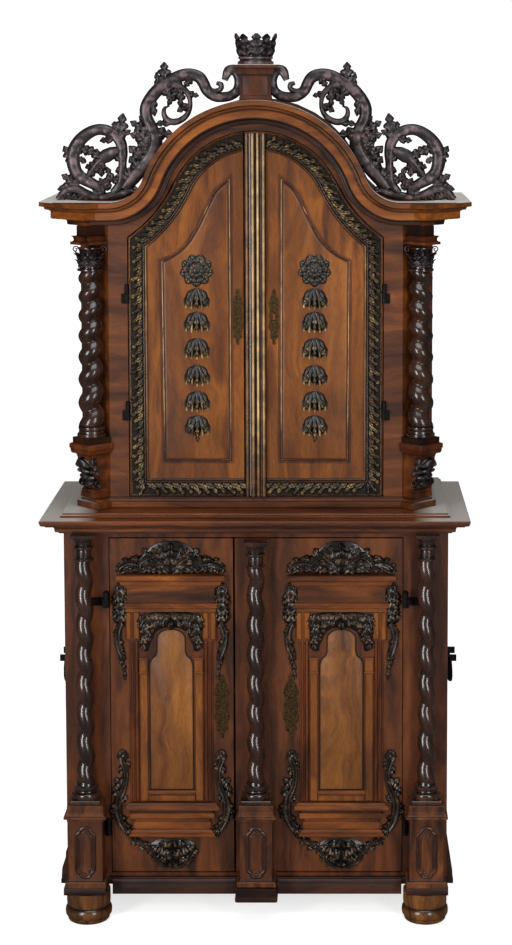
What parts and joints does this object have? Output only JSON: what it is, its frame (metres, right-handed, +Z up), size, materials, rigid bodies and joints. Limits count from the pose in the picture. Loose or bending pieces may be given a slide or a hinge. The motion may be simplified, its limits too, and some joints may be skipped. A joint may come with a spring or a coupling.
{
  "type": "two-part cabinet",
  "caption": "Tall walnut cabinet in two stacked parts with doors, twisted columns, an arched cornice, carved ornament and an openwork crest.",
  "frame": {"origin": "on the floor under the middle of the cabinet's bounding box", "axes": "+Z up, the doors face -Y, +X to the right of someone facing the doors"},
  "size_m": [1.2058, 0.58, 2.5073],
  "materials": {
    "walnut": "waxed, satin",
    "walnut_dark": "waxed, satin",
    "walnut_light": "burr veneer, satin",
    "carving": "dark bronzed carving, semi-matt",
    "ebonised": "dark polished, glossy highlights",
    "inside_wood": "unfinished, matt",
    "iron": "black, worn",
    "brass": "aged, dull"
  },
  "bodies": {
    "cabinet": {"arched_cornice": "walnut", "corner_pedestal_left": "walnut", "corner_pedestal_right": "walnut", "crest_block": "walnut_dark", "crest_left": "ebonised", "crest_right": "ebonised", "crown": "ebonised", "foot_front_left": "walnut", "foot_front_right": "walnut", "foot_rear_left": "walnut", "foot_rear_right": "walnut", "handle_plate_left": "iron", "handle_plate_right": "iron", "lower_back": "inside_wood", "lower_carcase": "walnut_dark", "lower_column_left": "ebonised", "lower_column_right": "ebonised", "lower_cornice": "walnut", "lower_hinge_left_bottom": "iron", "lower_hinge_left_top": "iron", "lower_hinge_right_bottom": "iron", "lower_hinge_right_top": "iron", "lower_shelf": "inside_wood", "plinth": "walnut_dark", "upper_back": "inside_wood", "upper_base_moulding": "walnut_dark", "upper_bracket_left": "walnut_dark", "upper_bracket_right": "walnut_dark", "upper_carcase": "walnut", "upper_column_left": "ebonised", "upper_column_right": "ebonised", "upper_hinge_left_bottom": "iron", "upper_hinge_left_top": "iron", "upper_hinge_right_bottom": "iron", "upper_hinge_right_top": "iron", "upper_shelf": "inside_wood"},
    "upper_door_left_body": {"upper_door_left": "walnut_light", "door_frame_carving_left": "carving", "husk_drop_left": "carving", "upper_escutcheon_left": "brass"},
    "upper_door_right_body": {"upper_door_right": "walnut_light", "door_frame_carving_right": "carving", "husk_drop_right": "carving", "upper_escutcheon_right": "brass", "astragal": "walnut_light", "upper_lock_case": "iron"},
    "lower_door_left_body": {"lower_door_left": "walnut", "portal_left": "walnut_dark", "lower_escutcheon_left": "brass"},
    "lower_door_right_body": {"lower_door_right": "walnut", "portal_right": "walnut_dark", "lower_escutcheon_right": "brass", "centre_pedestal": "walnut", "lower_column_centre": "ebonised", "lower_lock_case": "iron"},
    "bail_left_body": {"handle_bail_left": "iron"},
    "bail_right_body": {"handle_bail_right": "iron"},
    "upper_bolt_body": {"upper_lock_bolt": "iron"},
    "lower_bolt_body": {"lower_lock_bolt": "iron"}
  },
  "joints": [
    {"name": "upper_door_left_hinge", "type": "hinge", "parent": "cabinet", "child": "upper_door_left_body", "pos_m": [-0.3605, -0.1535, 1.61], "axis": [0, 0, -1], "range_deg": [0, 100]},
    {"name": "upper_door_right_hinge", "type": "hinge", "parent": "cabinet", "child": "upper_door_right_body", "pos_m": [0.3605, -0.1535, 1.61], "axis": [0, 0, 1], "range_deg": [0, 100]},
    {"name": "lower_door_left_hinge", "type": "hinge", "parent": "cabinet", "child": "lower_door_left_body", "pos_m": [-0.42, -0.218, 0.59], "axis": [0, 0, -1], "range_deg": [0, 90]},
    {"name": "lower_door_right_hinge", "type": "hinge", "parent": "cabinet", "child": "lower_door_right_body", "pos_m": [0.42, -0.218, 0.59], "axis": [0, 0, 1], "range_deg": [0, 90]},
    {"name": "bail_left_hinge", "type": "hinge", "parent": "cabinet", "child": "bail_left_body", "pos_m": [-0.5563, 0, 0.7079], "axis": [0, 1, 0], "range_deg": [0, 85]},
    {"name": "bail_right_hinge", "type": "hinge", "parent": "cabinet", "child": "bail_right_body", "pos_m": [0.5563, 0, 0.7079], "axis": [0, -1, 0], "range_deg": [0, 85]},
    {"name": "upper_bolt_slide", "type": "slide", "parent": "upper_door_right_body", "child": "upper_bolt_body", "axis": [-1, 0, 0], "range_m": [0, 0.022]},
    {"name": "lower_bolt_slide", "type": "slide", "parent": "lower_door_right_body", "child": "lower_bolt_body", "axis": [-1, 0, 0], "range_m": [0, 0.025]}
  ]
}
